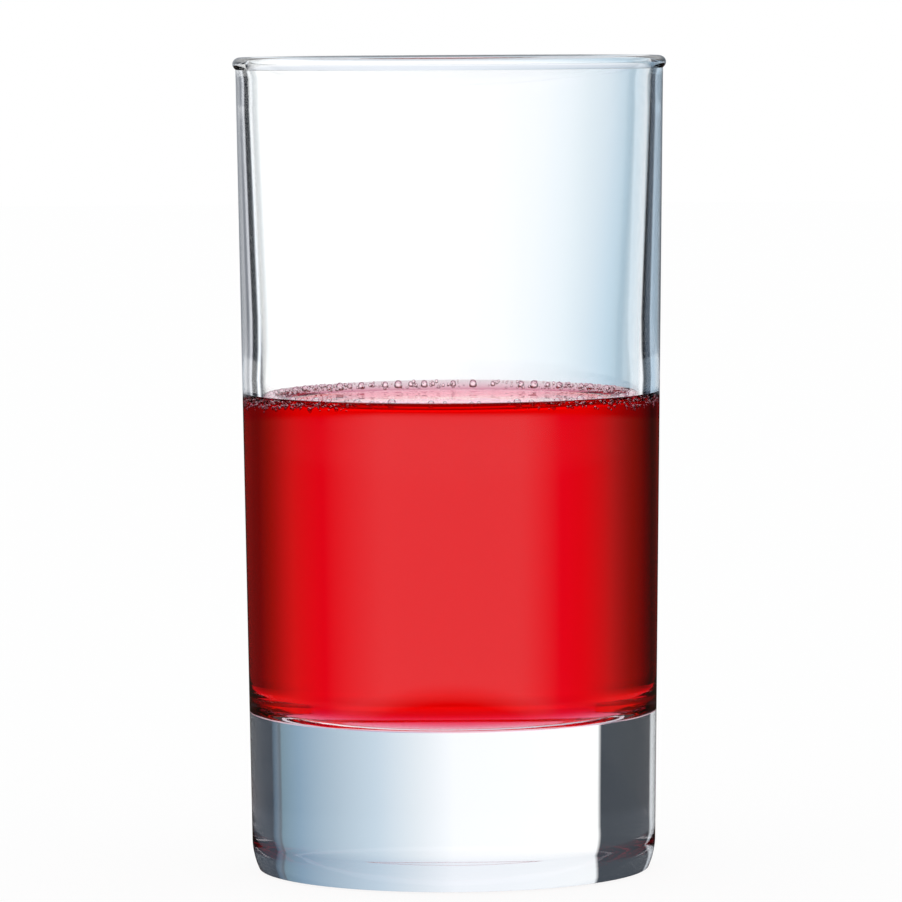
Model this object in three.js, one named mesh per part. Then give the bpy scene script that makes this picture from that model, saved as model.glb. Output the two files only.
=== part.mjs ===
// A heavy-based drinking tumbler, half full of a red drink with a ring of bubbles at its edge.
// Millimetres, +Z up. The origin is the centre of the foot, on the table, and Z is the glass's axis.

import * as THREE from "three";

// Tumbler, outside
const HEIGHT = 109;
const RIM_DIAMETER = 58;
const FOOT_DIAMETER = 54.2;
const FOOT_CORNER_WIDTH = 0.92;
const FOOT_CORNER_HEIGHT = 4.2;
const PUSH_UP_DIAMETER = 44;
const PUSH_UP_DEPTH = 0.5;

// Tumbler, rim and wall
const BEAD_HEIGHT = 1.8;
const BEAD_PROUD_OUTSIDE = 0.4;
const BEAD_PROUD_INSIDE = 0.15;
const WALL_AT_RIM = 1.47;
const WALL_AT_FLOOR = 4.75;
const WALL_SWELL = 1.25;

// Tumbler, inside
const BASE_THICKNESS = 20.5;
const FLOOR_CORNER_RADIUS = 4;

// Drink
const DRINK_DEPTH = 42.2;
const DRINK_CLEARANCE = 0.3;
const MENISCUS_RISE = 1.4;
const MENISCUS_LENGTH = 1.5;

// Bubbles, which lie in arcs along the edge of the drink. Angles are in degrees, anticlockwise from +X.
const BUBBLE_LARGEST = 1.3;
const BUBBLE_SMALLEST = 0.6;
const BUBBLE_CLEARANCE = 0.15;
const BUBBLE_ARCS = [
  { from: 26, to: 66, count: 9 },
  { from: 76, to: 96, count: 4 },
  { from: 99, to: 135, count: 9 },
  { from: 142, to: 172, count: 6 },
  { from: 184, to: 246, count: 13 },
  { from: 252, to: 276, count: 3 },
  { from: 290, to: 312, count: 6 },
  { from: 320, to: 352, count: 6 },
];

// Fineness of the facets
const TURN_STEPS = 72;
const ARC_STEPS = 6;
const BEAD_STEPS = 10;
const BEAD_JOIN_STEPS = 2;
const WALL_STEPS = 8;
const MENISCUS_STEPS = 6;

const QUARTER_TURN = Math.PI / 2;

// Glass forms that more than one piece follows

const rimRadius = RIM_DIAMETER / 2;
const footRadius = FOOT_DIAMETER / 2;
const cavityDepth = HEIGHT - BASE_THICKNESS;

function outerRadius(z) {
  const wallTop = rimRadius - BEAD_PROUD_OUTSIDE;
  return footRadius + ((wallTop - footRadius) * z) / HEIGHT;
}

// The wall grows slowly below the rim and faster towards the floor.
function innerRadius(z) {
  const depth = (HEIGHT - z) / cavityDepth;
  const wall = WALL_AT_RIM + (WALL_AT_FLOOR - WALL_AT_RIM) * Math.max(depth, 0) ** WALL_SWELL;
  return outerRadius(z) - wall;
}

// Points of an elliptical arc in the lathe's plane: x is the radius, y the height.
function arc(centreRadius, centreHeight, width, height, fromAngle, toAngle, steps) {
  const curve = new THREE.EllipseCurve(
    centreRadius,
    centreHeight,
    width,
    height,
    fromAngle,
    toAngle,
    toAngle < fromAngle,
  );
  return curve.getPoints(steps);
}

// Radius of the circle that an arc belongs to, from half its chord and its rise over the chord.
function circleRadius(halfChord, rise) {
  return (halfChord ** 2 + rise ** 2) / (2 * rise);
}

// The glass's floor and inner wall, from the axis up to topHeight, moved into the cavity by inset.
function cavityOutline(inset, topHeight) {
  const floorHeight = BASE_THICKNESS + inset;
  const cornerRadius = FLOOR_CORNER_RADIUS - inset;
  const wallFoot = floorHeight + cornerRadius;
  const cornerCentre = innerRadius(wallFoot) - inset - cornerRadius;
  const points = [new THREE.Vector2(0, floorHeight)];
  points.push(...arc(cornerCentre, wallFoot, cornerRadius, cornerRadius, -QUARTER_TURN, 0, ARC_STEPS));
  for (let step = 1; step <= WALL_STEPS; step += 1) {
    const z = wallFoot + ((topHeight - wallFoot) * step) / WALL_STEPS;
    points.push(new THREE.Vector2(innerRadius(z) - inset, z));
  }
  return points;
}

// A solid of revolution about Z from an outline that starts and ends on the axis.
function turned(outline) {
  const geometry = new THREE.LatheGeometry(outline, TURN_STEPS);
  geometry.rotateX(QUARTER_TURN);
  return geometry;
}

// Tumbler: one piece of pressed glass

function tumblerOutline() {
  const beadWidth = BEAD_PROUD_INSIDE + WALL_AT_RIM + BEAD_PROUD_OUTSIDE;
  const beadCentre = rimRadius - beadWidth / 2;
  const beadMiddle = HEIGHT - BEAD_HEIGHT / 2;
  const outsideJoin = Math.acos(1 - BEAD_PROUD_OUTSIDE / (beadWidth / 2));
  const insideJoin = Math.acos(1 - BEAD_PROUD_INSIDE / (beadWidth / 2));
  const underBead = beadMiddle - (BEAD_HEIGHT / 2) * Math.sin(insideJoin);

  const domeRadius = circleRadius(PUSH_UP_DIAMETER / 2, PUSH_UP_DEPTH);
  const pushUp = arc(
    0,
    PUSH_UP_DEPTH - domeRadius,
    domeRadius,
    domeRadius,
    QUARTER_TURN,
    Math.acos(PUSH_UP_DIAMETER / 2 / domeRadius),
    ARC_STEPS,
  );
  const cornerRadius = circleRadius(FOOT_CORNER_HEIGHT, FOOT_CORNER_WIDTH);
  const footCorner = arc(
    outerRadius(FOOT_CORNER_HEIGHT) - cornerRadius,
    FOOT_CORNER_HEIGHT,
    cornerRadius,
    cornerRadius,
    -Math.asin(FOOT_CORNER_HEIGHT / cornerRadius),
    0,
    ARC_STEPS,
  );
  const beadArc = (fromAngle, toAngle, steps) =>
    arc(beadCentre, beadMiddle, beadWidth / 2, BEAD_HEIGHT / 2, fromAngle, toAngle, steps);
  const beadOutside = beadArc(-outsideJoin, 0, BEAD_JOIN_STEPS);
  const beadTop = beadArc(0, Math.PI, BEAD_STEPS).slice(1, -1);
  const beadInside = beadArc(Math.PI, Math.PI + insideJoin, BEAD_JOIN_STEPS);
  const inside = cavityOutline(0, underBead).slice(0, -1).reverse();
  return [...pushUp, ...footCorner, ...beadOutside, ...beadTop, ...beadInside, ...inside];
}

function makeTumbler() {
  const clearGlass = new THREE.MeshStandardMaterial({
    color: 0xeef4f6,
    roughness: 0.03,
    metalness: 0,
    transparent: true,
    opacity: 0.35,
  });
  const tumbler = new THREE.Mesh(turned(tumblerOutline()), clearGlass);
  tumbler.name = "tumbler";
  return tumbler;
}

// Drink: it fills the cavity to its level and climbs the wall in a meniscus

const drinkLevel = BASE_THICKNESS + DRINK_DEPTH;
const drinkEdgeHeight = drinkLevel + MENISCUS_RISE;
const drinkEdgeRadius = innerRadius(drinkEdgeHeight) - DRINK_CLEARANCE;

function drinkSurface(radius) {
  const fromEdge = drinkEdgeRadius - radius;
  return drinkLevel + MENISCUS_RISE * Math.exp(-fromEdge / MENISCUS_LENGTH);
}

// Points of the drink's surface, from its edge inwards to where the meniscus has run out.
function meniscusOutline(steps) {
  const reach = 4 * MENISCUS_LENGTH;
  const points = [];
  for (let step = 0; step <= steps; step += 1) {
    const radius = drinkEdgeRadius - reach * (step / steps) ** 2;
    points.push(new THREE.Vector2(radius, drinkSurface(radius)));
  }
  return points;
}

function makeDrink() {
  const redDrink = new THREE.MeshStandardMaterial({
    color: 0xe6363c,
    roughness: 0.05,
    metalness: 0,
    transparent: true,
    opacity: 0.75,
  });
  const sides = cavityOutline(DRINK_CLEARANCE, drinkEdgeHeight).slice(0, -1);
  const surface = meniscusOutline(MENISCUS_STEPS);
  const middle = new THREE.Vector2(0, surface.at(-1).y);
  const drink = new THREE.Mesh(turned([...sides, ...surface, middle]), redDrink);
  drink.name = "drink";
  return drink;
}

// Bubbles: each leans on the wall and lies on the meniscus

function bubbleSeat(bubbleRadius) {
  const reach = bubbleRadius + BUBBLE_CLEARANCE;
  const seatRadius = innerRadius(drinkEdgeHeight) - reach;
  let seatHeight = drinkLevel;
  for (const point of meniscusOutline(8 * MENISCUS_STEPS)) {
    const across = point.x - seatRadius;
    if (Math.abs(across) < reach) {
      seatHeight = Math.max(seatHeight, point.y + Math.sqrt(reach ** 2 - across ** 2));
    }
  }
  return { seatRadius, seatHeight };
}

function makeBubbles() {
  const bubbleFilm = new THREE.MeshStandardMaterial({
    color: 0xf7dfe2,
    roughness: 0.05,
    metalness: 0,
    transparent: true,
    opacity: 0.35,
  });
  const goldenRatio = (1 + Math.sqrt(5)) / 2;
  const bubbles = [];
  for (const { from, to, count } of BUBBLE_ARCS) {
    for (let place = 0; place < count; place += 1) {
      const number = bubbles.length + 1;
      const share = (number * goldenRatio) % 1;
      const bubbleRadius = (BUBBLE_SMALLEST + (BUBBLE_LARGEST - BUBBLE_SMALLEST) * share) / 2;
      const angle = THREE.MathUtils.degToRad(from + ((to - from) * place) / (count - 1));
      const { seatRadius, seatHeight } = bubbleSeat(bubbleRadius);
      const bubble = new THREE.Mesh(new THREE.IcosahedronGeometry(bubbleRadius, 1), bubbleFilm);
      bubble.name = `bubble_${String(number).padStart(2, "0")}`;
      bubble.position.set(seatRadius * Math.cos(angle), seatRadius * Math.sin(angle), seatHeight);
      bubbles.push(bubble);
    }
  }
  return bubbles;
}

// Assembly

const contents = new THREE.Group();
contents.add(makeDrink(), ...makeBubbles());

const drinkingGlass = new THREE.Group();
drinkingGlass.add(makeTumbler(), contents);

export default drinkingGlass;
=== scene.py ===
import math

import bpy
import numpy as np
from mathutils import Matrix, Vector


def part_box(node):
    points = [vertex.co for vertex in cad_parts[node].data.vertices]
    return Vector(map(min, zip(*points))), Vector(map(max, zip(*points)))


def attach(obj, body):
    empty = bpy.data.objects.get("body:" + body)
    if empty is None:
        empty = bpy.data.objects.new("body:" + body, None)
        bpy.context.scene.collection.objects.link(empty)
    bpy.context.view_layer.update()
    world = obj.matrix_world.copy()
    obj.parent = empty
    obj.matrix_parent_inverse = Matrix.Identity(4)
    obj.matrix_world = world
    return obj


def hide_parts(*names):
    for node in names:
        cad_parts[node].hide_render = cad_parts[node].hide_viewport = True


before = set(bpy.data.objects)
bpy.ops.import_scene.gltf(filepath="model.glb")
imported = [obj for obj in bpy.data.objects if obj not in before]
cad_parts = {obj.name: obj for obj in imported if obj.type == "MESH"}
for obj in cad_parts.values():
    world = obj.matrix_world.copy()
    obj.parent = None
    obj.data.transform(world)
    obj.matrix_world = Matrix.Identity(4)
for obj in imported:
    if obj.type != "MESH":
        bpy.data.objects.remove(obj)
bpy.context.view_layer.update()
scene = bpy.context.scene

# Tumbler: one body of clear soda-lime glass, pressed by a plunger into a mould. The plunger leaves the wall
# thicker towards the floor, and a flame rounds the rim into a bead and softens every edge.

MM = 0.001
WALL_AT_RIM = 1.47 * MM
WALL_AT_FLOOR = 4.75 * MM
WALL_SWELL = 1.25
WALL_DIP = 0.22 * MM
WALL_DIP_HEIGHT = 62.5 * MM
WALL_DIP_SPREAD = 3.5 * MM
BEAD_HEIGHT = 1.8 * MM
BEAD_PROUD_OUTSIDE = 0.4 * MM
BEAD_PROUD_INSIDE = 0.15 * MM
FOOT_RADIUS = 27.1 * MM
FOOT_CORNER_WIDTH = 0.92 * MM
FOOT_CORNER_HEIGHT = 4.2 * MM
PUSH_UP_RADIUS = 22 * MM
PUSH_UP_DEPTH = 0.5 * MM
BASE_THICKNESS = 20.5 * MM
FLOOR_CORNER_RADIUS = 4 * MM
DRINK_DEPTH = 42.2 * MM
MENISCUS_RISE = 1.4 * MM
GLASS_FLOW = 0.03 * MM
OUTLINE_STEP = 0.01 * MM
# Degrees by which the outline turns between two of its kept points, and the longest run between them.
MOST_TURN = 1.75
MOST_REACH = 4 * MM
TURN_STEPS = 256
ARC_STEPS = 24
BEAD_STEPS = 48
WALL_STEPS = 60
GLASS_INDEX = 1.52
DRINK_INDEX = 1.345
CORD_WIDTH = 5 * MM
CORD_LENGTH = 60 * MM
WAVE_LENGTH = 18 * MM
WAVE_HEIGHT = 0.005 * MM

tumbler_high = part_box("tumbler")[1]
glass_height = tumbler_high[2]
drink_level = BASE_THICKNESS + DRINK_DEPTH
drink_edge_height = drink_level + MENISCUS_RISE
rim_radius = tumbler_high[0]


def outer_radius(z):
    wall_top = rim_radius - BEAD_PROUD_OUTSIDE
    return FOOT_RADIUS + (wall_top - FOOT_RADIUS) * z / glass_height


def inner_radius(z):
    depth = np.maximum(glass_height - z, 0) / (glass_height - BASE_THICKNESS)
    wall = WALL_AT_RIM + (WALL_AT_FLOOR - WALL_AT_RIM) * depth**WALL_SWELL
    dip = WALL_DIP * np.exp(-0.5 * ((z - WALL_DIP_HEIGHT) / WALL_DIP_SPREAD) ** 2)
    return outer_radius(z) - wall + dip


def arc(centre_radius, centre_height, width, height, start, end, steps=ARC_STEPS):
    angles = np.radians(np.linspace(start, end, steps))
    return np.column_stack([centre_radius + width * np.cos(angles), centre_height + height * np.sin(angles)])


def softened(points, flow):
    """The outline with points a step apart and its corners rounded as by a flame."""
    lengths = np.concatenate([[0], np.cumsum(np.linalg.norm(np.diff(points, axis=0), axis=1))])
    count = int(lengths[-1] / OUTLINE_STEP)
    places = np.linspace(0, lengths[-1], count)
    even = np.column_stack([np.interp(places, lengths, points[:, i]) for i in (0, 1)])
    reach = int(3 * flow / OUTLINE_STEP)
    weights = np.exp(-0.5 * (np.arange(-reach, reach + 1) * OUTLINE_STEP / flow) ** 2)
    weights /= weights.sum()
    start = 2 * even[0] - even[reach:0:-1]
    end = 2 * even[-1] - even[-2 : -2 - reach : -1]
    padded = np.vstack([start, even, end])
    return np.column_stack([np.convolve(padded[:, i], weights, "valid") for i in (0, 1)])


def thinned(points, always):
    """The points where the outline has turned by MOST_TURN degrees or run for MOST_REACH, with their normals.

    The point before each turn is kept too, so that a flat stays flat up to its edge, and so is point always.
    """
    along = np.gradient(points, axis=0)
    normals = np.column_stack([along[:, 1], -along[:, 0]]) / np.linalg.norm(along, axis=1)[:, None]
    normals[[0, -1], 0] = 0
    heading = np.degrees(np.unwrap(np.arctan2(along[:, 1], along[:, 0])))
    turned_by = np.concatenate([[0], np.cumsum(np.abs(np.diff(heading)))])
    run = np.concatenate([[0], np.cumsum(np.linalg.norm(np.diff(points, axis=0), axis=1))])
    kept = [0]
    for index in range(1, len(points) - 1):
        turns = turned_by[index] - turned_by[kept[-1]] >= MOST_TURN
        if turns and kept[-1] < index - 1:
            kept.append(index - 1)
            turns = turned_by[index] - turned_by[index - 1] >= MOST_TURN
        if turns or index == always or run[index] - run[kept[-1]] >= MOST_REACH:
            kept.append(index)
    kept.append(len(points) - 1)
    return points[kept], normals[kept]


def cavity_outline(outset, top_height):
    """The glass's floor and inner wall from the axis to top_height, moved into the glass by outset."""
    floor_height = BASE_THICKNESS - outset
    corner = FLOOR_CORNER_RADIUS + outset
    wall_foot = floor_height + corner
    corner_centre = inner_radius(wall_foot) + outset - corner
    heights = np.linspace(wall_foot, top_height, WALL_STEPS)[1:]
    wall = np.column_stack([inner_radius(heights) + outset, heights])
    return np.vstack([[0, floor_height], arc(corner_centre, wall_foot, corner, corner, -90, 0), wall])


def turned(name, outline, normals=None):
    """A closed mesh of revolution about Z, from an outline whose two ends lie on the axis."""
    rings = outline[1:-1]
    angles = np.arange(TURN_STEPS) * 2 * math.pi / TURN_STEPS
    circle = np.column_stack([np.cos(angles), np.sin(angles)])
    ring_points = np.concatenate(
        [np.column_stack([circle * radius, np.full(TURN_STEPS, height)]) for radius, height in rings]
    )
    first_pole, last_pole = len(ring_points), len(ring_points) + 1
    poles = [(0, 0, outline[0, 1]), (0, 0, outline[-1, 1])]
    points = np.vstack([ring_points, poles])
    here = np.arange(TURN_STEPS)
    onward = (here + 1) % TURN_STEPS
    last_ring = (len(rings) - 1) * TURN_STEPS
    faces = [(first_pole, int(b), int(a)) for a, b in zip(here, onward)]
    for low in range(0, last_ring, TURN_STEPS):
        high = low + TURN_STEPS
        faces += [(int(low + a), int(low + b), int(high + b), int(high + a)) for a, b in zip(here, onward)]
    faces += [(int(last_ring + a), int(last_ring + b), last_pole) for a, b in zip(here, onward)]
    mesh = bpy.data.meshes.new(name)
    mesh.from_pydata(points.tolist(), [], faces)
    mesh.shade_smooth()
    mesh.update()
    if normals is not None:
        ring_normals = [np.column_stack([circle * out, np.full(TURN_STEPS, up)]) for out, up in normals[1:-1]]
        pole_normals = [(0, 0, normals[0, 1]), (0, 0, normals[-1, 1])]
        mesh.normals_split_custom_set_from_vertices(np.vstack([*ring_normals, pole_normals]).tolist())
    piece = bpy.data.objects.new(name, mesh)
    scene.collection.objects.link(piece)
    return piece


bead_width = BEAD_PROUD_INSIDE + WALL_AT_RIM + BEAD_PROUD_OUTSIDE
bead_centre = rim_radius - bead_width / 2
bead_middle = glass_height - BEAD_HEIGHT / 2
outside_join = math.degrees(math.acos(1 - 2 * BEAD_PROUD_OUTSIDE / bead_width))
inside_join = math.degrees(math.acos(1 - 2 * BEAD_PROUD_INSIDE / bead_width))
under_bead = bead_middle - BEAD_HEIGHT / 2 * math.sin(math.radians(inside_join))
corner_radius = (FOOT_CORNER_WIDTH**2 + FOOT_CORNER_HEIGHT**2) / (2 * FOOT_CORNER_WIDTH)
corner_angle = math.degrees(math.asin(FOOT_CORNER_HEIGHT / corner_radius))
corner_centre = outer_radius(FOOT_CORNER_HEIGHT) - corner_radius
push_up_radii = np.linspace(0, PUSH_UP_RADIUS, ARC_STEPS)
push_up_heights = PUSH_UP_DEPTH * np.cos(math.pi / 2 * push_up_radii / PUSH_UP_RADIUS) ** 2
tumbler_outline = np.vstack(
    [
        np.column_stack([push_up_radii, push_up_heights]),
        arc(corner_centre, FOOT_CORNER_HEIGHT, corner_radius, corner_radius, -corner_angle, 0),
        arc(
            bead_centre,
            bead_middle,
            bead_width / 2,
            BEAD_HEIGHT / 2,
            -outside_join,
            180 + inside_join,
            BEAD_STEPS,
        ),
        cavity_outline(0, under_bead)[-2::-1],
    ]
)
tumbler_outline = softened(tumbler_outline, GLASS_FLOW)
tumbler_outline[[0, -1], 0] = 0
rim_point = np.argmax(tumbler_outline[:, 1])
contact_point = rim_point + np.argmin(np.abs(tumbler_outline[rim_point:, 1] - drink_edge_height))
tumbler_outline, tumbler_normals = thinned(tumbler_outline, contact_point)
tumbler = turned("tumbler_glass", tumbler_outline, tumbler_normals)


def by_band(values):
    """A value for each face of a turned mesh, from one for each band of its outline."""
    return np.repeat(values, TURN_STEPS)


def linear(hex_colour):
    """Linear RGBA of an sRGB hex colour."""
    channels = [int(hex_colour[i : i + 2], 16) / 255 for i in (1, 3, 5)]
    return (*(c / 12.92 if c <= 0.04045 else ((c + 0.055) / 1.055) ** 2.4 for c in channels), 1)


def add_node(tree, kind, inputs=None, **settings):
    """Adds a node with its settings. An input is a value, an output, or a node, for its first output."""
    node = tree.nodes.new(kind)
    for name, value in settings.items():
        setattr(node, name, value)
    for socket, source in (inputs or {}).items():
        if isinstance(source, bpy.types.Node):
            source = next(output for output in source.outputs if output.enabled)
        if isinstance(source, bpy.types.NodeSocket):
            tree.links.new(source, node.inputs[socket])
        else:
            node.inputs[socket].default_value = source
    return node


def new_material(name):
    material = bpy.data.materials.new(name)
    material.use_nodes = True
    material.node_tree.nodes.clear()
    return material, material.node_tree


def pressed_glass(name, index_of_refraction):
    """Pressed soda-lime glass, clear and fire-polished, with its index relative to what touches it.

    Faint cords run up it, a trace greener than the rest, and the mould has left its face a little wavy. The
    eye sees them as slight bends in the lines along the wall.
    """
    material, tree = new_material(name)
    place = add_node(tree, "ShaderNodeTexCoord").outputs["Object"]
    stretch = (1, 1, CORD_WIDTH / CORD_LENGTH)
    drawn_out = add_node(tree, "ShaderNodeMapping", {"Vector": place, "Scale": stretch})
    cords = add_node(
        tree,
        "ShaderNodeTexNoise",
        {"Vector": drawn_out, "Scale": 1 / CORD_WIDTH, "Detail": 1.0},
    )
    tint = add_node(
        tree,
        "ShaderNodeMix",
        {0: cords, 6: linear("#FFFFFF"), 7: linear("#FBFDFD")},
        data_type="RGBA",
    )
    waves = add_node(tree, "ShaderNodeTexNoise", {"Vector": place, "Scale": 1 / WAVE_LENGTH, "Detail": 0.0})
    pressed = add_node(tree, "ShaderNodeBump", {"Height": waves, "Strength": 1.0, "Distance": WAVE_HEIGHT})
    surface = add_node(
        tree,
        "ShaderNodeBsdfPrincipled",
        {
            "Base Color": tint,
            "Roughness": 0.0,
            "IOR": index_of_refraction,
            "Transmission Weight": 1.0,
            "Normal": pressed,
        },
    )
    add_node(tree, "ShaderNodeOutputMaterial", {"Surface": surface})
    return material


tumbler.data.materials.append(pressed_glass("soda_lime_glass", GLASS_INDEX))
tumbler.data.materials.append(pressed_glass("soda_lime_glass_wetted", GLASS_INDEX / DRINK_INDEX))
inside = np.arange(len(tumbler_outline)) > np.argmax(tumbler_outline[:, 1])
wetted = (inside & (tumbler_outline[:, 1] < drink_edge_height - OUTLINE_STEP))[1:]
tumbler.data.polygons.foreach_set("material_index", by_band(wetted).astype(np.int32))
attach(tumbler, "glass")
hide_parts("tumbler")

# Drink: a clear red cordial that wets the glass, so that it has no air between itself and the wall. It climbs
# the wall in a meniscus, and its edge lies a little inside the glass here so that no gap shows.

MENISCUS_LENGTH = 1.5 * MM
WETTING_OVERLAP = 0.06 * MM
RIPPLE_LENGTH = 4 * MM
RIPPLE_HEIGHT = 0.05 * MM
SURFACE_STEPS = 160
# Absorption per metre of liquid.
DRINK_DENSITY = 387.7

drink_edge_radius = float(inner_radius(drink_edge_height)) + WETTING_OVERLAP
surface_radii = drink_edge_radius * (1 - np.linspace(0, 1, SURFACE_STEPS) ** 2)
surface_heights = drink_level + MENISCUS_RISE * np.exp((surface_radii - drink_edge_radius) / MENISCUS_LENGTH)
drink_outline = np.vstack(
    [
        cavity_outline(WETTING_OVERLAP, drink_edge_height)[:-1],
        np.column_stack([surface_radii, surface_heights]),
    ]
)
drink_outline[-1, 0] = 0
drink = turned("red_drink", drink_outline)

in_air = np.arange(len(drink_outline) - 1) >= len(drink_outline) - len(surface_radii)
indices = drink.data.attributes.new("index_of_refraction", "FLOAT", "FACE")
indices.data.foreach_set("value", by_band(np.where(in_air, DRINK_INDEX, 1.0)).astype(np.float32))

# A clear red cordial. Its colour lies in the depth of the liquid, so that the eye sees a deep red in the
# middle and pink where it is thin. Its sides bend no light, because the wetted glass has that step already.
drink_material, tree = new_material("red_cordial")
index = add_node(tree, "ShaderNodeAttribute", attribute_name="index_of_refraction")
place = add_node(tree, "ShaderNodeTexCoord").outputs["Object"]
swell = add_node(tree, "ShaderNodeTexNoise", {"Vector": place, "Scale": 1 / RIPPLE_LENGTH, "Detail": 1.0})
ripples = add_node(tree, "ShaderNodeBump", {"Height": swell, "Strength": 1.0, "Distance": RIPPLE_HEIGHT})
drink_surface = add_node(
    tree,
    "ShaderNodeBsdfPrincipled",
    {
        "Base Color": linear("#FFFFFF"),
        "Roughness": 0.0,
        "IOR": index.outputs["Fac"],
        "Transmission Weight": 1.0,
        "Normal": ripples,
    },
)
drink_body = add_node(
    tree,
    "ShaderNodeVolumeAbsorption",
    {"Color": linear("#FE89B7"), "Density": DRINK_DENSITY},
)
add_node(tree, "ShaderNodeOutputMaterial", {"Surface": drink_surface, "Volume": drink_body})
drink.data.materials.append(drink_material)
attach(drink, "drink")
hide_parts("drink")

# Bubbles: air caught in the edge of the drink when it was poured. Each is a film of drink round air, afloat
# in the meniscus and resting on the wall. The surface holds them in arcs, with finer froth between.

FROTH_COUNT = 2000
FROTH_SMALLEST = 0.22 * MM
FROTH_LARGEST = 0.6 * MM
FROTH_SPREAD = 1.5 * MM
FROTH_SUNK = 1.6 * MM
FROTH_INSET = 0.55
FROTH_SWING = 0.03
FROTH_SEED = 4
# Share of the froth that is there, by degrees from the right and round by the back.
FROTH_DENSITY = [
    (0, 0.70),
    (40, 0.75),
    (58, 0.30),
    (74, 0.25),
    (77, 0.0),
    (82, 0.0),
    (86, 0.25),
    (118, 0.22),
    (135, 0.70),
    (172, 0.80),
    (212, 0.85),
    (238, 0.55),
    (250, 0.10),
    (285, 0.10),
    (300, 0.55),
    (316, 0.25),
    (332, 0.55),
    (360, 0.70),
]
BUBBLE_FLOAT = 0.3
BUBBLE_FLOAT_LEAN = 0.15

bubble_nodes = sorted(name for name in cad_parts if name.startswith("bubble"))
bubble_boxes = [np.array(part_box(name)) for name in bubble_nodes]
bubble_sizes = np.array([box[1, 0] - box[0, 0] for box in bubble_boxes])
seat_places = np.array([box.mean(axis=0) for box in bubble_boxes])
from_edge = drink_edge_radius - np.hypot(seat_places[:, 0], seat_places[:, 1])
seat_heights = drink_level + MENISCUS_RISE * np.exp(-from_edge / MENISCUS_LENGTH)
float_shares = BUBBLE_FLOAT - BUBBLE_FLOAT_LEAN * seat_places[:, 1] / drink_edge_radius
seat_places[:, 2] = seat_heights + float_shares * bubble_sizes
seat_mesh = bpy.data.meshes.new("bubble_seats")
seat_mesh.from_pydata(seat_places.tolist(), [], [])
seat_sizes = seat_mesh.attributes.new("size", "FLOAT", "POINT")
seat_sizes.data.foreach_set("value", bubble_sizes.astype(np.float32))
seats = bpy.data.objects.new("bubble_seats", seat_mesh)
scene.collection.objects.link(seats)

# A film of cordial round air. The eye sees a clear middle. Its colour is painted dark red at the outline,
# more so towards the bottom of each bubble: partly the thicker film seen edge on, and towards the bottom a
# painted shade. Seen from the drink, air has an index under 1, which the shader's own socket can't hold, so a
# node gives it.
film_material, tree = new_material("bubble_film")
facing = add_node(tree, "ShaderNodeLayerWeight", {"Blend": 0.35}).outputs["Facing"]
edge_on = add_node(tree, "ShaderNodeMapRange", {"Value": facing, "From Min": 0.35, "From Max": 0.8})
normal = add_node(tree, "ShaderNodeTexCoord").outputs["Normal"]
upward = add_node(tree, "ShaderNodeSeparateXYZ", {0: normal}).outputs["Z"]
# Painted shade: the outline turns darker red towards the bottom of each bubble, by which way its face points.
painted_underside_shade = add_node(tree, "ShaderNodeMapRange", {"Value": upward, "From Min": 0.5, "From Max": -0.5})
outline = add_node(tree, "ShaderNodeMath", {0: edge_on, 1: painted_underside_shade}, operation="MULTIPLY")
film_colour_and_painted_shade = add_node(
    tree,
    "ShaderNodeMix",
    {0: outline, 6: linear("#FFEDF1"), 7: linear("#8A1C36")},
    data_type="RGBA",
)
air_in_drink = add_node(tree, "ShaderNodeValue")
air_in_drink.outputs[0].default_value = 1 / DRINK_INDEX
film = add_node(
    tree,
    "ShaderNodeBsdfPrincipled",
    {"Base Color": film_colour_and_painted_shade, "Roughness": 0.0, "IOR": air_in_drink, "Transmission Weight": 1.0},
)
add_node(tree, "ShaderNodeOutputMaterial", {"Surface": film})

froth = bpy.data.node_groups.new("froth", "GeometryNodeTree")
froth_inputs = {}
for name, kind in (
    ("Geometry", "NodeSocketGeometry"),
    ("Edge Radius", "NodeSocketFloat"),
    ("Level", "NodeSocketFloat"),
    ("Meniscus Rise", "NodeSocketFloat"),
    ("Meniscus Length", "NodeSocketFloat"),
    ("Count", "NodeSocketInt"),
    ("Smallest", "NodeSocketFloat"),
    ("Largest", "NodeSocketFloat"),
    ("Spread", "NodeSocketFloat"),
    ("Sunk", "NodeSocketFloat"),
    ("Seed", "NodeSocketInt"),
    ("Film", "NodeSocketMaterial"),
):
    froth_inputs[name] = froth.interface.new_socket(name, in_out="INPUT", socket_type=kind).identifier
froth.interface.new_socket("Geometry", in_out="OUTPUT", socket_type="NodeSocketGeometry")
given = froth.nodes.new("NodeGroupInput").outputs

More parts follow.
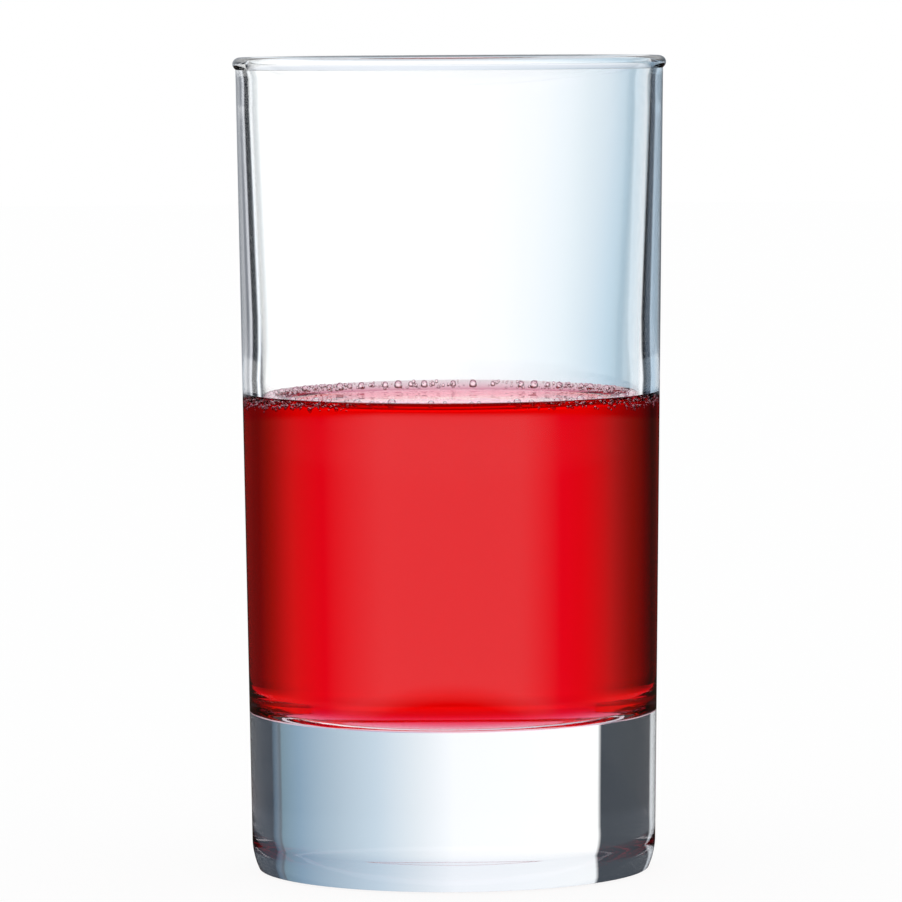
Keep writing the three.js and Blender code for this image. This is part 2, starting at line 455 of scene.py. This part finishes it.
# Each place gets its own chances from 0 to 1. Small froth is commoner than large, and most of it keeps to
# the wall. At the sides it also hangs a little under the surface.
terms = {name: given[name] for name in froth_inputs}
terms["index"] = add_node(froth, "GeometryNodeInputIndex")
chances = ("size_chance", "stray_chance", "swing_chance", "gap_chance", "sunk_chance")
for number, name in enumerate(chances, 1):
    seed = add_node(froth, "ShaderNodeMath", {0: given["Seed"], 1: number}, operation="ADD")
    terms[name] = add_node(froth, "FunctionNodeRandomValue", {"Seed": seed}, data_type="FLOAT")
for name, operation, *operands in (
    ("around", "DIVIDE", "index", "Count"),
    ("size_share", "POWER", "size_chance", 2.0),
    ("size_range", "SUBTRACT", "Largest", "Smallest"),
    ("size", "MULTIPLY_ADD", "size_share", "size_range", "Smallest"),
    ("stray_share", "POWER", "stray_chance", 2.5),
    ("stray", "MULTIPLY", "stray_share", "Spread"),
    ("inset", "MULTIPLY_ADD", "size", FROTH_INSET, "stray"),
    ("lengths_inwards", "DIVIDE", "inset", "Meniscus Length"),
    ("fall", "MULTIPLY", "lengths_inwards", -1.0),
    ("left_of_rise", "EXPONENT", "fall"),
    ("climb", "MULTIPLY_ADD", "left_of_rise", "Meniscus Rise", "Level"),
    ("angle", "MULTIPLY", "around", 2 * math.pi),
    ("swing", "MULTIPLY_ADD", "swing_chance", FROTH_SWING, "angle"),
    ("to_side", "COSINE", "swing"),
    ("to_back", "SINE", "swing"),
    ("float_share", "MULTIPLY_ADD", "to_back", -BUBBLE_FLOAT_LEAN, BUBBLE_FLOAT),
    ("afloat", "MULTIPLY_ADD", "size", "float_share", "climb"),
    ("at_back", "MAXIMUM", "to_back", 0),
    ("sideways", "POWER", "to_side", 2.0),
    ("beside", "MULTIPLY_ADD", "at_back", -2.0, "sideways"),
    ("only_beside", "MAXIMUM", "beside", 0),
    ("sinking", "MULTIPLY", "sunk_chance", "Sunk"),
    ("sunk", "MULTIPLY", "sinking", "only_beside"),
    ("height", "SUBTRACT", "afloat", "sunk"),
    ("reach", "SUBTRACT", "Edge Radius", "inset"),
    ("x", "MULTIPLY", "reach", "to_side"),
    ("y", "MULTIPLY", "reach", "to_back"),
):
    sources = {socket: terms.get(operand, operand) for socket, operand in enumerate(operands)}
    terms[name] = add_node(froth, "ShaderNodeMath", sources, operation=operation)

ring = add_node(
    froth,
    "GeometryNodeMeshCircle",
    {"Vertices": given["Count"], "Radius": given["Edge Radius"]},
    fill_type="NONE",
)
ring_places = add_node(froth, "GeometryNodeMeshToPoints", {"Mesh": ring})
density = add_node(froth, "ShaderNodeFloatCurve", {"Value": terms["around"]})
density_curve = density.mapping.curves[0]
density_curve.points[0].location = (0, FROTH_DENSITY[0][1])
density_curve.points[1].location = (1, FROTH_DENSITY[-1][1])
for angle, share in FROTH_DENSITY[1:-1]:
    density_curve.points.new(angle / 360, share)
for point in density_curve.points:
    point.handle_type = "VECTOR"
density.mapping.update()
froth_place = add_node(froth, "ShaderNodeCombineXYZ", {0: terms["x"], 1: terms["y"], 2: terms["height"]})
sized = add_node(
    froth,
    "GeometryNodeStoreNamedAttribute",
    {"Geometry": ring_places, "Name": "size", "Value": terms["size"]},
    data_type="FLOAT",
    domain="POINT",
)
placed = add_node(froth, "GeometryNodeSetPosition", {"Geometry": sized, "Position": froth_place})
gaps = add_node(froth, "ShaderNodeMath", {0: terms["gap_chance"], 1: density}, operation="GREATER_THAN")
kept_places = add_node(
    froth,
    "GeometryNodeDeleteGeometry",
    {"Geometry": placed, "Selection": gaps},
    domain="POINT",
)
own_size = add_node(froth, "GeometryNodeInputNamedAttribute", {"Name": "size"}, data_type="FLOAT")
froth_ball = add_node(froth, "GeometryNodeMeshUVSphere", {"Segments": 8, "Rings": 6, "Radius": 0.5})
bubble_ball = add_node(froth, "GeometryNodeMeshIcoSphere", {"Radius": 0.5, "Subdivisions": 3})
seat_points = add_node(froth, "GeometryNodeMeshToPoints", {"Mesh": given["Geometry"]})
both = add_node(froth, "GeometryNodeJoinGeometry")
for points, ball in ((seat_points, bubble_ball), (kept_places, froth_ball)):
    balls = add_node(
        froth,
        "GeometryNodeInstanceOnPoints",
        {"Points": points, "Instance": ball, "Scale": own_size},
    )
    froth.links.new(balls.outputs[0], both.inputs[0])
real = add_node(froth, "GeometryNodeRealizeInstances", {"Geometry": both})
rounded = add_node(froth, "GeometryNodeSetShadeSmooth", {"Geometry": real})
filmed = add_node(froth, "GeometryNodeSetMaterial", {"Geometry": rounded, "Material": given["Film"]})
add_node(froth, "NodeGroupOutput", {"Geometry": filmed})

growing = seats.modifiers.new("froth", "NODES")
growing.node_group = froth
for name, value in (
    ("Edge Radius", drink_edge_radius - WETTING_OVERLAP),
    ("Level", drink_level),
    ("Meniscus Rise", MENISCUS_RISE),
    ("Meniscus Length", MENISCUS_LENGTH),
    ("Count", FROTH_COUNT),
    ("Smallest", FROTH_SMALLEST),
    ("Largest", FROTH_LARGEST),
    ("Spread", FROTH_SPREAD),
    ("Sunk", FROTH_SUNK),
    ("Seed", FROTH_SEED),
    ("Film", film_material),
):
    growing[froth_inputs[name]] = value
bubble_mesh = bpy.data.meshes.new_from_object(seats.evaluated_get(bpy.context.evaluated_depsgraph_get()))
bpy.data.objects.remove(seats)
bubble_mesh.name = "bubbles"
bubbles = bpy.data.objects.new("bubbles", bubble_mesh)
scene.collection.objects.link(bubbles)
# Mirrored in the drink's surface, so many small bubbles would run together into streaks.
bubbles.visible_glossy = False
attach(bubbles, "drink")
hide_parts(*bubble_nodes)

# Studio: a pale floor in a light tent. Clear glass shows only what is round it, so the tent is white behind
# the glass, blue-grey towards the right, and has dark flags at the sides, which give the glass its edges.
# Thick glass, a hollow wall and a glass full of drink each gather a different part of it.

FLOOR_REACH = 3.0
FLOOR_DROP = 0.2 * MM
MATT_SHARE = 0.10
WALL_LEAN = 0.75
WALL_LEAN_FROM = 9.3
SURFACE_BOW = 1.58

# Levels of light, where 1 is white, by a ray's turn to the right from straight behind the glass, in
# degrees. UNDER_RIM goes by its rise instead.
WHITE = (1.0, 1.0, 1.0)
PALE = (0.93, 0.94, 0.95)
DARK = (0.01, 0.01, 0.01)
THROUGH_SOLID = [
    (-180, PALE),
    (-140, PALE),
    (-120, (0.12, 0.13, 0.15)),
    (-95, (0.12, 0.13, 0.15)),
    (-88, (1.20, 1.25, 1.30)),
    (-73, (1.20, 1.25, 1.30)),
    (-69, (0.075, 0.085, 0.10)),
    (-34.7, (0.065, 0.075, 0.09)),
    (-34.0, (1.15, 1.15, 1.15)),
    (0, (1.06, 1.08, 1.12)),
    (6.5, (0.87, 0.93, 0.99)),
    (15, (0.63, 0.75, 0.86)),
    (25, (0.47, 0.59, 0.70)),
    (38, (0.28, 0.41, 0.54)),
    (46.5, (0.22, 0.33, 0.41)),
    (47.6, (0.14, 0.17, 0.20)),
    (48.5, (0.19, 0.24, 0.30)),
    (51.5, (0.14, 0.21, 0.29)),
    (53, (0.06, 0.075, 0.10)),
    (72, (0.09, 0.105, 0.13)),
    (120, (0.09, 0.105, 0.13)),
    (140, PALE),
    (180, PALE),
]
ALONG_WALL = [
    (-180, (0.05, 0.055, 0.06)),
    (-72, (0.05, 0.055, 0.06)),
    (-66, (1.20, 1.20, 1.20)),
    (-52, (1.20, 1.20, 1.20)),
    (-50, (0.15, 0.16, 0.18)),
    (-44.5, (0.15, 0.16, 0.18)),
    (-43, (1.25, 1.32, 1.40)),
    (-40.3, (1.25, 1.32, 1.40)),
    (-38.8, (0.09, 0.105, 0.12)),
    (-36, (0.06, 0.07, 0.08)),
    (-33, (0.02, 0.022, 0.03)),
    (-31.2, (0.05, 0.055, 0.07)),
    (-29.6, (0.95, 0.98, 1.05)),
    (-26.5, (0.95, 0.98, 1.05)),
    (-24.5, (0.35, 0.37, 0.42)),
    (-20.5, (0.28, 0.30, 0.34)),
    (-17, (0.75, 0.76, 0.80)),
    (-11, (0.75, 0.76, 0.80)),
    (0, (1.05, 1.10, 1.18)),
    (14, (0.66, 0.86, 1.04)),
    (24, (0.60, 0.78, 0.95)),
    (28.4, (0.66, 0.84, 1.02)),
    (30, (0.10, 0.14, 0.19)),
    (36, (0.08, 0.11, 0.15)),
    (38.5, (0.012, 0.016, 0.022)),
    (41.6, (0.012, 0.016, 0.022)),
    (43.6, (1.15, 1.17, 1.20)),
    (57.5, (1.15, 1.17, 1.20)),
    (59.5, (0.03, 0.035, 0.04)),
    (180, (0.05, 0.055, 0.06)),
]
THROUGH_HOLLOW = [
    (-180, PALE),
    (-50, PALE),
    (-45, (0.20, 0.22, 0.25)),
    (-39, (0.20, 0.22, 0.25)),
    (-34, (1.20, 1.20, 1.20)),
    (-12, (1.45, 1.45, 1.45)),
    (-4, (1.26, 1.26, 1.26)),
    (0, (1.17, 1.17, 1.18)),
    (2, (1.11, 1.12, 1.17)),
    (3.3, (0.97, 1.05, 1.11)),
    (5.2, (0.86, 0.97, 1.06)),
    (6.6, (0.76, 0.91, 1.03)),
    (9.2, (0.62, 0.82, 0.97)),
    (11.2, (0.55, 0.74, 0.88)),
    (30, (0.58, 0.74, 0.86)),
    (45, PALE),
    (180, PALE),
]
THROUGH_DRINK = [
    (-180, 0.95),
    (-112, 0.95),
    (-100, 0.75),
    (-70, 0.75),
    (-60, 0.10),
    (-52.8, 0.033),
    (-46.2, 0.12),
    (-39.6, 0.235),
    (-33.3, 0.35),
    (-28.8, 0.52),
    (-25.3, 0.73),
    (-20.4, 0.94),
    (-16, 1.0),
    (16, 1.0),
    (21.3, 0.98),
    (26.5, 0.86),
    (30.4, 0.67),
    (34, 0.49),
    (38.5, 0.35),
    (44.5, 0.23),
    (50, 0.25),
    (58, 0.40),
    (70, 0.75),
    (100, 0.75),
    (112, 0.95),
    (180, 0.95),
]
THROUGH_FOAM = [
    (-180, 0.95),
    (-110, 0.95),
    (-90, 0.05),
    (-60, 0.05),
    (-45, 0.25),
    (-30, 0.90),
    (-15, 1.30),
    (15, 1.30),
    (30, 0.90),
    (45, 0.25),
    (60, 0.05),
    (90, 0.05),
    (110, 0.95),
    (180, 0.95),
]
UNDER_RIM = [
    (-60, PALE),
    (-54, (0.12, 0.14, 0.16)),
    (-40, (0.12, 0.14, 0.16)),
    (-33, (0.32, 0.36, 0.40)),
    (-27, (0.66, 0.74, 0.82)),
    (-22, PALE),
]
MIRRORED = [
    (-180, (0.80, 0.81, 0.92)),
    (-141, (0.80, 0.81, 0.92)),
    (-104, (0.03, 0.03, 0.16)),
    (-80, (0.11, 0.12, 0.12)),
    (-60, (0.06, 0.055, 0.03)),
    (-45, (0.03, 0.02, 0.015)),
    (45, (0.03, 0.02, 0.015)),
    (60, (0.06, 0.055, 0.03)),
    (80, (0.14, 0.15, 0.14)),
    (104, (0.03, 0.04, 0.13)),
    (117, (0.03, 0.03, 0.20)),
    (141, (0.80, 0.81, 0.92)),
    (180, (0.80, 0.81, 0.92)),
]
EDGE_ON = [
    (-36, DARK),
    (-24, (0.42, 0.45, 0.49)),
    (0, (0.42, 0.45, 0.49)),
    (10, (0.20, 0.23, 0.26)),
    (24, (0.20, 0.23, 0.26)),
    (36, DARK),
]

# What a ray sees from one limit of a measure to the other. A name stands for a ramp or for an earlier line.
# Light that leaves the glass has met 3 surfaces in the rim or the base, 4 along the wall, 5 or 6 through the
# hollow, 7 through the drink, and more through bubbles.
TENT_STEPS = [
    ("solid", "rise", 4, 9, "solid", "solid_shaded"),
    ("rim_edge", "behind", 70, 80, "under_rim", PALE),
    ("solid_and_rim", "rise", -22, -26, "solid", "rim_edge"),
    ("drink", "rise", -13, -17, "drink", (0.90, 0.80, 0.84)),
    ("drink", "rise", 10, 16, "drink", (0.95, 0.72, 0.82)),
    ("foam", "rise", -38, -48, "foam", "foam_dimmed"),
    ("upper_foam", "behind", 90, 100, (0.95, 0.75, 0.82), (0.05, 0.05, 0.05)),
    ("foam", "rise", 1, 2.5, "foam", "upper_foam"),
    ("upward", "behind", 105, 120, "solid", (0.20, 0.22, 0.25)),
    ("wall", "rise", -2, -1, "wall", "upward"),
    ("wall", "rise", -25, -45, "wall", PALE),
    ("hollow", "rise", 6, 12, "hollow", (0.86, 0.90, 0.95)),
    ("hollow", "rise", -20, -33, "hollow", (0.70, 0.76, 0.83)),
    ("hollow", "rise", -45, -55, "hollow", PALE),
    ("wall_again", "rise", -7.0, -7.6, "hollow", (0.05, 0.055, 0.065)),
    ("wall_again", "rise", -14, -17, "wall_again", "hollow"),
    ("wall_again", "rise", 1, 2.5, "wall_again", (1.28, 1.08, 1.26)),
    ("wall_again", "rise", 10, 16, "wall_again", (0.30, 0.07, 0.13)),
    ("astray", "rise", 18, 24, (0.04, 0.025, 0.03), (0.95, 0.84, 0.89)),
    ("mirrored", "rise", -7.85, -7.65, DARK, "mirrored"),
    ("mirrored", "level", -3.66, -3.61, "mirrored", DARK),
    ("mirrored", "level", -3.43, -3.38, "mirrored", "edge_on"),
    ("mirrored", "rise", 6, 14, "mirrored", PALE),
    ("through", "surfaces_met", 3.4, 3.6, "solid_and_rim", "wall"),
    ("through", "surfaces_met", 4.4, 4.6, "through", "hollow"),
    ("through", "surfaces_met", 5.4, 5.6, "through", "wall_again"),
    ("through", "surfaces_met", 6.4, 6.6, "through", "drink"),
    ("through", "surfaces_met", 7.4, 7.6, "through", "foam"),
    ("through", "surfaces_met", 9.4, 9.6, "through", "astray"),
    ("tent", "is_refracted", 0, 1, "mirrored", "through"),
    ("tent", "is_diffuse", 0, 1, "tent", WHITE),
    ("tent", "is_seen_directly", 0, 1, "tent", WHITE),
]

# A sheet of white card, nearly all glow and a little matt, so that it is white with a soft shadow on it.
floor_material, tree = new_material("white_sweep")
glow = add_node(tree, "ShaderNodeEmission", {"Color": linear("#FFFFFF"), "Strength": 1.0})
matt = add_node(tree, "ShaderNodeBsdfDiffuse", {"Color": linear("#FCFCFC")})
sweep = add_node(tree, "ShaderNodeMixShader", {0: MATT_SHARE, 1: glow, 2: matt})
add_node(tree, "ShaderNodeOutputMaterial", {"Surface": sweep})
floor_corners = [
    (-FLOOR_REACH, -FLOOR_REACH, -FLOOR_DROP),
    (FLOOR_REACH, -FLOOR_REACH, -FLOOR_DROP),
    (FLOOR_REACH, FLOOR_REACH, -FLOOR_DROP),
    (-FLOOR_REACH, FLOOR_REACH, -FLOOR_DROP),
]
floor_mesh = bpy.data.meshes.new("floor")
floor_mesh.from_pydata(floor_corners, [], [(0, 1, 2, 3)])
floor_mesh.materials.append(floor_material)
floor = bpy.data.objects.new("floor", floor_mesh)
scene.collection.objects.link(floor)
floor.visible_transmission = False
floor.visible_glossy = False

world = bpy.data.worlds.new("light_tent")
world.use_nodes = True
tree = world.node_tree
tree.nodes.clear()
direction = add_node(tree, "ShaderNodeTexCoord").outputs["Generated"]
parts = add_node(tree, "ShaderNodeSeparateXYZ", {0: direction}).outputs
rays = add_node(tree, "ShaderNodeLightPath").outputs
measures = {
    "rightwards": parts["X"],
    "backwards": parts["Y"],
    "upwards": parts["Z"],
    "surfaces_met": rays["Ray Depth"],
    "is_refracted": rays["Is Transmission Ray"],
    "is_diffuse": rays["Is Diffuse Ray"],
    "is_seen_directly": rays["Is Camera Ray"],
}
for name, operation, *operands in (
    ("turn_in_radians", "ARCTAN2", "rightwards", "backwards"),
    ("turn", "DEGREES", "turn_in_radians"),
    ("rise_in_radians", "ARCSINE", "upwards"),
    ("rise", "DEGREES", "rise_in_radians"),
    ("side", "SIGN", "turn"),
    ("lean", "MULTIPLY_ADD", "rise", WALL_LEAN, WALL_LEAN * WALL_LEAN_FROM),
    ("leaned", "MULTIPLY_ADD", "side", "lean", "turn"),
    ("behind", "ABSOLUTE", "turn"),
    ("half_turn", "MULTIPLY", "behind", math.pi / 360),
    ("facing", "SINE", "half_turn"),
    ("level", "MULTIPLY_ADD", "facing", SURFACE_BOW, "rise"),
):
    sources = {socket: measures.get(operand, operand) for socket, operand in enumerate(operands)}
    measures[name] = add_node(tree, "ShaderNodeMath", sources, operation=operation)

views = {}
for name, measure, stops in (
    ("solid", "turn", THROUGH_SOLID),
    ("wall", "leaned", ALONG_WALL),
    ("hollow", "turn", THROUGH_HOLLOW),
    ("drink", "turn", THROUGH_DRINK),
    ("foam", "turn", THROUGH_FOAM),
    ("under_rim", "rise", UNDER_RIM),
    ("mirrored", "turn", MIRRORED),
    ("edge_on", "turn", EDGE_ON),
):
    low = stops[0][0]
    high = stops[-1][0]
    limits = {"Value": measures[measure], "From Min": low, "From Max": high}
    share = add_node(tree, "ShaderNodeMapRange", limits)
    views[name] = add_node(tree, "ShaderNodeValToRGB", {0: share})
    elements = views[name].color_ramp.elements
    elements.remove(elements[-1])
    for number, (value, colour) in enumerate(stops):
        position = (value - low) / (high - low)
        element = elements[0] if number == 0 else elements.new(position)
        element.position = position
        element.color = (*colour, 1) if isinstance(colour, tuple) else (colour, colour, colour, 1)
for name, view, shade in (
    ("solid_shaded", "solid", (0.86, 0.885, 0.92)),
    ("foam_dimmed", "foam", (0.22, 0.20, 0.20)),
):
    views[name] = add_node(
        tree,
        "ShaderNodeMix",
        {0: 1.0, 6: views[view], 7: (*shade, 1)},
        data_type="RGBA",
        blend_type="MULTIPLY",
    )
for name, measure, low, high, before, after in TENT_STEPS:
    limits = {"Value": measures[measure], "From Min": low, "From Max": high}
    share = add_node(tree, "ShaderNodeMapRange", limits)
    first, second = (views[view] if isinstance(view, str) else (*view, 1) for view in (before, after))
    views[name] = add_node(tree, "ShaderNodeMix", {0: share, 6: first, 7: second}, data_type="RGBA")
sky = add_node(tree, "ShaderNodeBackground", {"Color": views["tent"], "Strength": 1.0})
add_node(tree, "ShaderNodeOutputWorld", {"Surface": sky})
scene.world = world

# Light crosses many faces of glass, drink and bubbles on its way, so it may bounce more often than usual.
scene.view_settings.view_transform = "Standard"
scene.cycles.max_bounces = 32
scene.cycles.transmission_bounces = 32
scene.cycles.glossy_bounces = 16
scene.cycles.transparent_max_bounces = 16

# Camera: a long lens a little above the rim, some 0.85 m in front of the glass and turned down by a few
# degrees, so that the rim and the surface of the drink are seen almost edge on.

CAMERA_PLACE = (-0.07 * MM, -850 * MM, 114.66 * MM)
CAMERA_TILT = 3.944
CAMERA_ROLL = -0.349
CAMERA_LENS = 253.13

camera_data = bpy.data.cameras.new("camera")
camera_data.lens = CAMERA_LENS
camera_data.sensor_width = 36
camera = bpy.data.objects.new("camera", camera_data)
scene.collection.objects.link(camera)
camera.matrix_world = (
    Matrix.Translation(CAMERA_PLACE)
    @ Matrix.Rotation(math.radians(90 - CAMERA_TILT), 4, "X")
    @ Matrix.Rotation(math.radians(CAMERA_ROLL), 4, "Z")
)
scene.camera = camera
